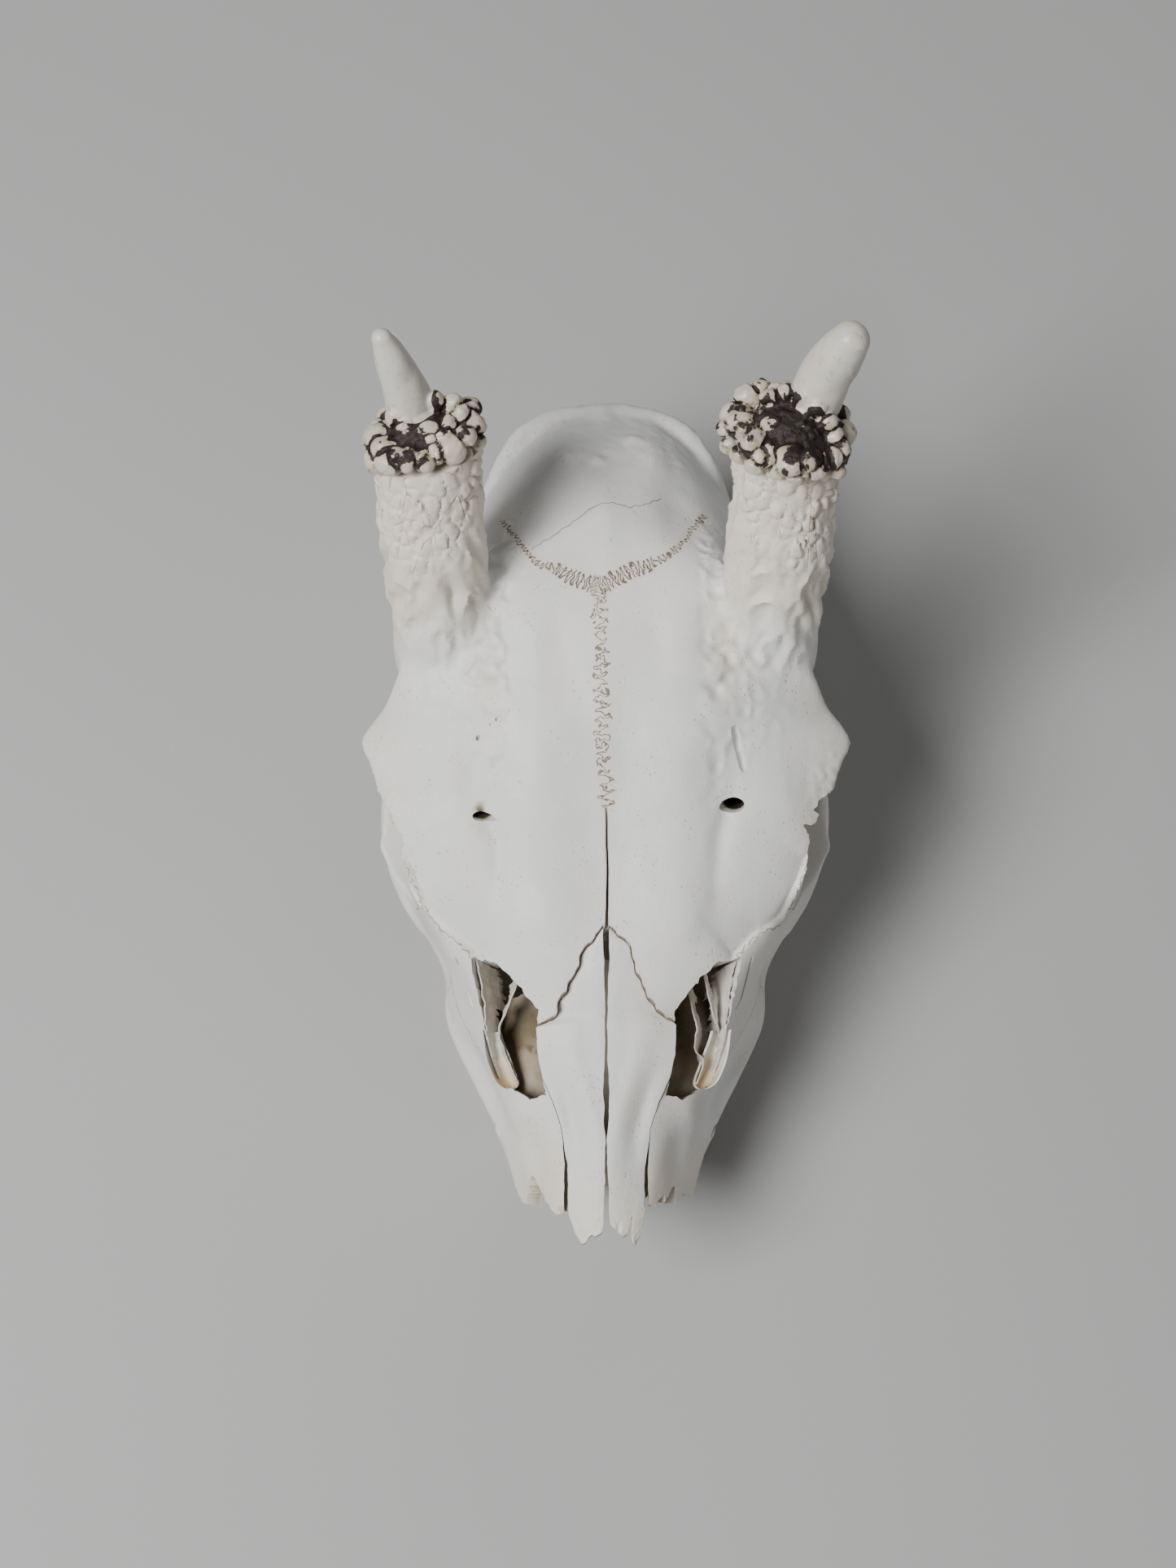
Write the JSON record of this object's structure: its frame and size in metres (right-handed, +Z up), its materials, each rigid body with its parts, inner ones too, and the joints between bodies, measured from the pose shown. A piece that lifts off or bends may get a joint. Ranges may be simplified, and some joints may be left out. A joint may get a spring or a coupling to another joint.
{
  "type": "fallow deer skull",
  "caption": "Fallow deer skull with pearled coronets and short antler spikes, its snout broken off in front of the cheek teeth and the lower jaw missing.",
  "frame": {"origin": "on the table, under the middle of the bounding box", "axes": "+Y from the snout to the back of the head, +Z up, +X towards the animal's own left side"},
  "size_m": [0.1124, 0.1995, 0.1579],
  "materials": {
    "bone": "bleached bone, matt to satin, greyish white with cream edges",
    "antler": "ivory antler, polished pearls over near-black crevices",
    "tooth": "smooth enamel, stained brown in the folds"
  },
  "bodies": {
    "root": {"cranium": "bone", "left_nasal": "bone", "right_nasal": "bone", "left_antler": "antler", "right_antler": "antler", "left_premolar_2": "tooth", "left_premolar_3": "tooth", "left_premolar_4": "tooth", "left_molar_1": "tooth", "left_molar_2": "tooth", "left_molar_3": "tooth", "right_premolar_2": "tooth", "right_premolar_3": "tooth", "right_premolar_4": "tooth", "right_molar_1": "tooth", "right_molar_2": "tooth", "right_molar_3": "tooth"}
  },
  "joints": []
}
